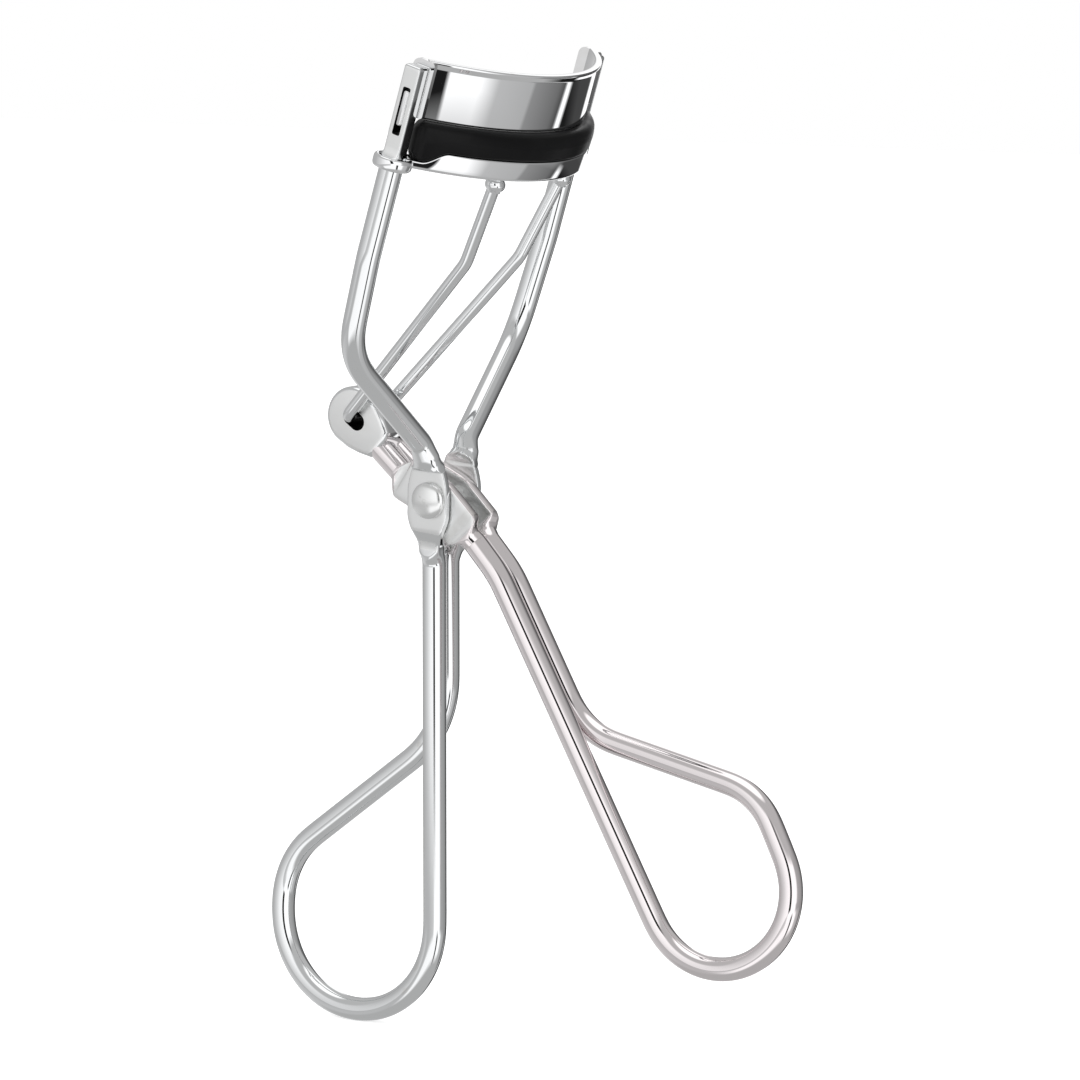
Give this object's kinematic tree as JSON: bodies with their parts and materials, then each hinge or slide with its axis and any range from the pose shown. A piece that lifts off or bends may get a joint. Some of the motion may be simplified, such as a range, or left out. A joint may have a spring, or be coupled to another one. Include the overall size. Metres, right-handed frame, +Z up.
{
  "type": "eyelash curler",
  "caption": "Chrome wire eyelash curler: two ring handles on one rivet, a fixed curved band and a cushioned lower jaw that slides on the arms.",
  "frame": {"origin": "middle of the rivet that joins the two handles", "axes": "+Z up along the frame handle to the jaws, +X towards the lever handle, +Y away from the rivet's factory head"},
  "size_m": [0.0677, 0.0394, 0.107],
  "materials": {
    "chrome": "bright nickel-chrome plate",
    "warm_chrome": "bright plate with a faint warm tint",
    "rubber": "satin black"
  },
  "bodies": {
    "frame": {"frame_wire": "chrome", "pivot_rivet": "chrome", "upper_band": "chrome"},
    "lever": {"lever_wire": "warm_chrome"},
    "jaw": {"lower_jaw": "chrome", "lash_pad": "rubber", "link_wire": "chrome", "link_collar_near": "chrome", "link_collar_far": "chrome"}
  },
  "joints": [
    {"name": "lever_open", "type": "hinge", "parent": "frame", "child": "lever", "pos_m": [0, 0, 0], "axis": [0, -1, 0], "range_deg": [0, 30]},
    {"name": "jaw_slide", "type": "slide", "parent": "frame", "child": "jaw", "axis": [-0.2924, 0, -0.9563], "range_m": [0, 0.0071]}
  ],
  "couplings": [
    {"joint": "jaw_slide", "follows": "lever_open", "m_per_rad": 0.0134}
  ]
}
